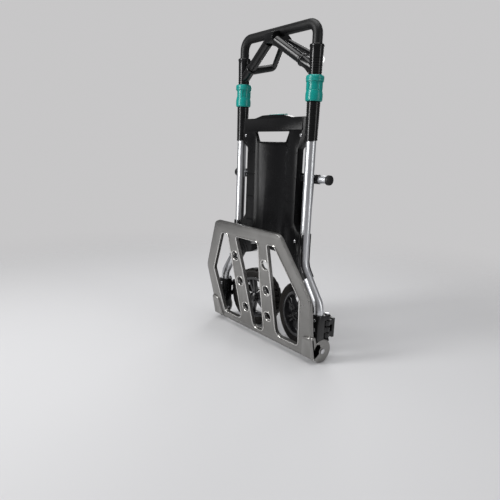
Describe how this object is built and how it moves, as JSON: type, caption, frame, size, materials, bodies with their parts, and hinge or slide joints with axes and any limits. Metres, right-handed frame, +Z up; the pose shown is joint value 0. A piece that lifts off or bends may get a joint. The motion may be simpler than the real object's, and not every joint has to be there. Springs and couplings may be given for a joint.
{
  "type": "folding hand truck",
  "caption": "Folding hand truck with a telescopic U handle, twist locks, moulded back panel, hinged cast toe plate, fold-in wheels and a rear support bar.",
  "frame": {"origin": "on the floor, under the middle of the whole truck", "axes": "+X to the truck's right when seen from the toe plate side, +Y towards the user and the wheels, +Z up along the poles"},
  "size_m": [0.4884, 0.1934, 0.9324],
  "materials": {
    "aluminium": "satin",
    "cast_aluminium": "satin, warm grey",
    "steel": "bright zinc plated",
    "gloss_black": "moulded, semi-gloss",
    "grey_plastic": "moulded, satin",
    "soft_rubber": "matte",
    "tyre_rubber": "matte",
    "teal_plastic": "moulded, satin"
  },
  "bodies": {
    "frame": {"right_frame_tube": "aluminium", "left_frame_tube": "aluminium", "right_pole_sleeve": "gloss_black", "left_pole_sleeve": "gloss_black", "right_lock_cap": "teal_plastic", "left_lock_cap": "teal_plastic", "right_upper_panel_screw": "steel", "left_upper_panel_screw": "steel", "right_middle_panel_screw": "steel", "left_middle_panel_screw": "steel", "right_lower_panel_screw": "steel", "left_lower_panel_screw": "steel", "right_catch_stud": "steel", "left_catch_stud": "steel", "right_tube_clamp": "gloss_black", "left_tube_clamp": "gloss_black", "right_wheel_bracket": "gloss_black", "left_wheel_bracket": "gloss_black", "right_hinge_pin": "steel", "left_hinge_pin": "steel", "right_pivot_bolt": "steel", "left_pivot_bolt": "steel", "back_panel": "grey_plastic", "support_axle": "steel"},
    "handle": {"handle_tube": "aluminium", "handle_grip": "soft_rubber", "right_handle_fitting": "gloss_black", "left_handle_fitting": "gloss_black", "right_brace_arm": "gloss_black", "left_brace_arm": "gloss_black", "right_hand_guard": "gloss_black", "left_hand_guard": "gloss_black", "apex_bracket": "gloss_black"},
    "right_lock": {"right_lock_collar": "teal_plastic"},
    "left_lock": {"left_lock_collar": "teal_plastic"},
    "toe": {"toe_plate": "cast_aluminium"},
    "right_wheel_carrier": {"right_wheel_arm": "gloss_black", "right_axle": "steel"},
    "left_wheel_carrier": {"left_wheel_arm": "gloss_black", "left_axle": "steel"},
    "right_wheel": {"right_tyre": "tyre_rubber", "right_rim": "gloss_black", "right_hub_cap": "gloss_black"},
    "left_wheel": {"left_tyre": "tyre_rubber", "left_rim": "gloss_black", "left_hub_cap": "gloss_black"},
    "rear_support": {"right_support_arm": "gloss_black", "left_support_arm": "gloss_black", "support_bar": "aluminium", "right_bar_collar": "gloss_black", "left_bar_collar": "gloss_black", "right_bar_cap": "soft_rubber", "left_bar_cap": "soft_rubber"},
    "lever": {"release_lever": "teal_plastic"}
  },
  "joints": [
    {"name": "handle_extend", "type": "slide", "parent": "frame", "child": "handle", "axis": [0, 0, 1], "range_m": [0, 0.2]},
    {"name": "right_lock_twist", "type": "hinge", "parent": "frame", "child": "right_lock", "pos_m": [0.152, 0.00372, 0.747], "axis": [0, 0, 1], "range_deg": [0, 60]},
    {"name": "left_lock_twist", "type": "hinge", "parent": "frame", "child": "left_lock", "pos_m": [-0.152, 0.00372, 0.747], "axis": [0, 0, -1], "range_deg": [0, 60]},
    {"name": "toe_plate_fold", "type": "hinge", "parent": "frame", "child": "toe", "pos_m": [0, 0.00972, 0.035], "axis": [1, 0, 0], "range_deg": [-7, 78]},
    {"name": "right_wheel_fold", "type": "hinge", "parent": "frame", "child": "right_wheel_carrier", "pos_m": [0.234, 0.02772, 0.099], "axis": [0, 0, -1], "range_deg": [-7, 78]},
    {"name": "left_wheel_fold", "type": "hinge", "parent": "frame", "child": "left_wheel_carrier", "pos_m": [-0.234, 0.02772, 0.099], "axis": [0, 0, 1], "range_deg": [-7, 78]},
    {"name": "right_wheel_spin", "type": "hinge", "parent": "right_wheel_carrier", "child": "right_wheel", "pos_m": [0.10379, 0.05192, 0.099], "axis": [0.2079, 0.9781, 0], "continuous": true},
    {"name": "left_wheel_spin", "type": "hinge", "parent": "left_wheel_carrier", "child": "left_wheel", "pos_m": [-0.10379, 0.05192, 0.099], "axis": [-0.2079, 0.9781, 0], "continuous": true},
    {"name": "rear_support_fold", "type": "hinge", "parent": "frame", "child": "rear_support", "pos_m": [0, 0.03172, 0.318], "axis": [-1, 0, 0], "range_deg": [0, 90]},
    {"name": "release_lever_press", "type": "slide", "parent": "frame", "child": "lever", "axis": [0, 0, -1], "range_m": [0, 0.003], "stiffness_N_per_m": 400, "springref_m": -0.003}
  ],
  "couplings": [
    {"joint": "right_wheel_fold", "follows": "toe_plate_fold", "ratio": 1},
    {"joint": "left_wheel_fold", "follows": "toe_plate_fold", "ratio": 1}
  ]
}
